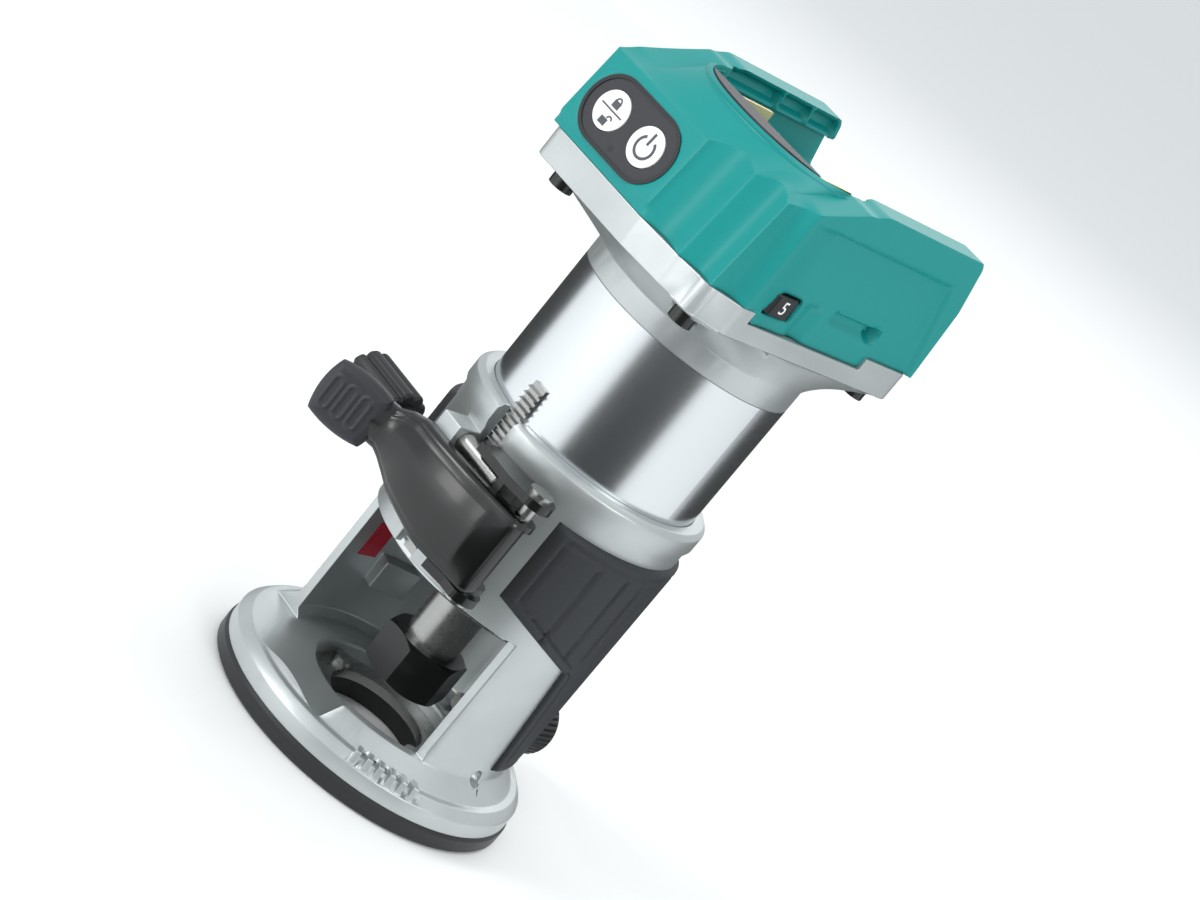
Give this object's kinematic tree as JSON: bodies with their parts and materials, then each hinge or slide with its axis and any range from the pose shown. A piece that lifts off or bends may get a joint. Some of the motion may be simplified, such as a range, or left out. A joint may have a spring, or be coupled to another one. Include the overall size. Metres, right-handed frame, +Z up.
{
  "type": "trim router",
  "caption": "Cordless trim router: motor tube and battery head raised and lowered by a rack in a split clamp base with a cam lever, round sole and front window.",
  "frame": {"origin": "centre of the sole plate's bottom face, on the spindle axis", "axes": "+Z up along the spindle towards the battery head; the front with window, clamp lever and buttons faces -Y; +X is the side with the speed dial; the battery slides in from +Y"},
  "size_m": [0.0932, 0.1225, 0.2015],
  "materials": {
    "cast_aluminium": "shot-blasted, clear coated",
    "brushed_tube": "turned bright",
    "bright_steel": "machined",
    "black_steel": "black, glossy",
    "teal_plastic": "moulded, satin",
    "black_plastic": "moulded",
    "grey_plastic": "moulded, fine grain",
    "white_plastic": "printed film",
    "red_plastic": "moulded",
    "black_rubber": "grained",
    "clear_lens": "clear",
    "brass": "plain",
    "copper_windings": "enamelled wire",
    "laminated_steel": "stamped stack",
    "circuit_board": "solder mask"
  },
  "bodies": {
    "base": {"base_casting": "cast_aluminium", "sole_plate": "black_plastic", "sole_screws": "black_steel", "guide_ring": "bright_steel", "guide_ring_screws": "bright_steel", "red_key": "red_plastic", "left_grip": "black_rubber", "right_grip": "black_rubber", "link_bracket": "black_steel", "lever_pin": "bright_steel", "clamp_barrel": "bright_steel"},
    "lever": {"clamp_lever": "black_steel", "lever_pad": "black_plastic"},
    "height_adjuster": {"height_knob": "black_plastic", "pinion_shaft": "bright_steel", "drive_pinion": "bright_steel", "shaft_nut": "bright_steel"},
    "guide_clamp": {"guide_knob": "black_plastic", "guide_screw": "bright_steel", "guide_washer": "bright_steel"},
    "motor_unit": {"motor_tube": "brushed_tube", "rack": "bright_steel", "neck_bracket": "cast_aluminium", "head_housing": "teal_plastic", "head_screws": "black_steel", "bearing_carrier": "cast_aluminium", "bearing_retainer": "bright_steel", "lower_bearing": "bright_steel", "upper_bearing": "bright_steel", "stator_core": "laminated_steel", "stator_coils": "copper_windings", "motor_leads": "copper_windings", "controller_board": "circuit_board", "board_parts": "black_plastic", "button_bezel": "black_plastic", "button_panel": "grey_plastic", "button_switches": "black_plastic", "status_lens": "clear_lens", "terminal_cover": "grey_plastic", "terminal_block": "black_plastic", "terminal_blades": "brass", "catch_plate": "bright_steel", "dial_axle": "bright_steel"},
    "spindle_unit": {"spindle": "bright_steel", "rotor_core": "laminated_steel", "rotor_magnets": "laminated_steel", "cooling_fan": "black_plastic", "collet": "bright_steel", "collet_nut": "black_steel"},
    "lock_button": {"lock_button": "white_plastic"},
    "power_button": {"power_button": "white_plastic"},
    "speed_dial": {"speed_dial": "black_plastic"}
  },
  "joints": [
    {"name": "height_slide", "type": "slide", "parent": "base", "child": "motor_unit", "axis": [0, 0, 1], "range_m": [-0.018, 0.02]},
    {"name": "height_knob_turn", "type": "hinge", "parent": "base", "child": "height_adjuster", "pos_m": [0, -0.0388, 0.0795], "axis": [1, 0, 0], "range_deg": [-216, 240]},
    {"name": "lever_hinge", "type": "hinge", "parent": "base", "child": "lever", "pos_m": [0.023, -0.036, 0.0765], "axis": [0, 0, 1], "range_deg": [0, 100]},
    {"name": "guide_screw_turn", "type": "hinge", "parent": "base", "child": "guide_clamp", "pos_m": [0, 0.05, 0.015], "axis": [0, 1, 0], "range_deg": [-720, 720]},
    {"name": "spindle_spin", "type": "hinge", "parent": "motor_unit", "child": "spindle_unit", "pos_m": [0, 0, 0.1], "axis": [0, 0, 1], "continuous": true},
    {"name": "lock_press", "type": "slide", "parent": "motor_unit", "child": "lock_button", "axis": [0, 0.9903, -0.1392], "range_m": [0, 0.0008], "stiffness_N_per_m": 1500, "springref_m": -0.0006},
    {"name": "power_press", "type": "slide", "parent": "motor_unit", "child": "power_button", "axis": [0, 0.9903, -0.1392], "range_m": [0, 0.0008], "stiffness_N_per_m": 1500, "springref_m": -0.0006},
    {"name": "speed_turn", "type": "hinge", "parent": "motor_unit", "child": "speed_dial", "pos_m": [0.0252, -0.024, 0.169], "axis": [0, 0, 1], "range_deg": [-144, 36]}
  ],
  "couplings": [
    {"joint": "height_knob_turn", "follows": "height_slide", "rad_per_m": 208.33}
  ]
}
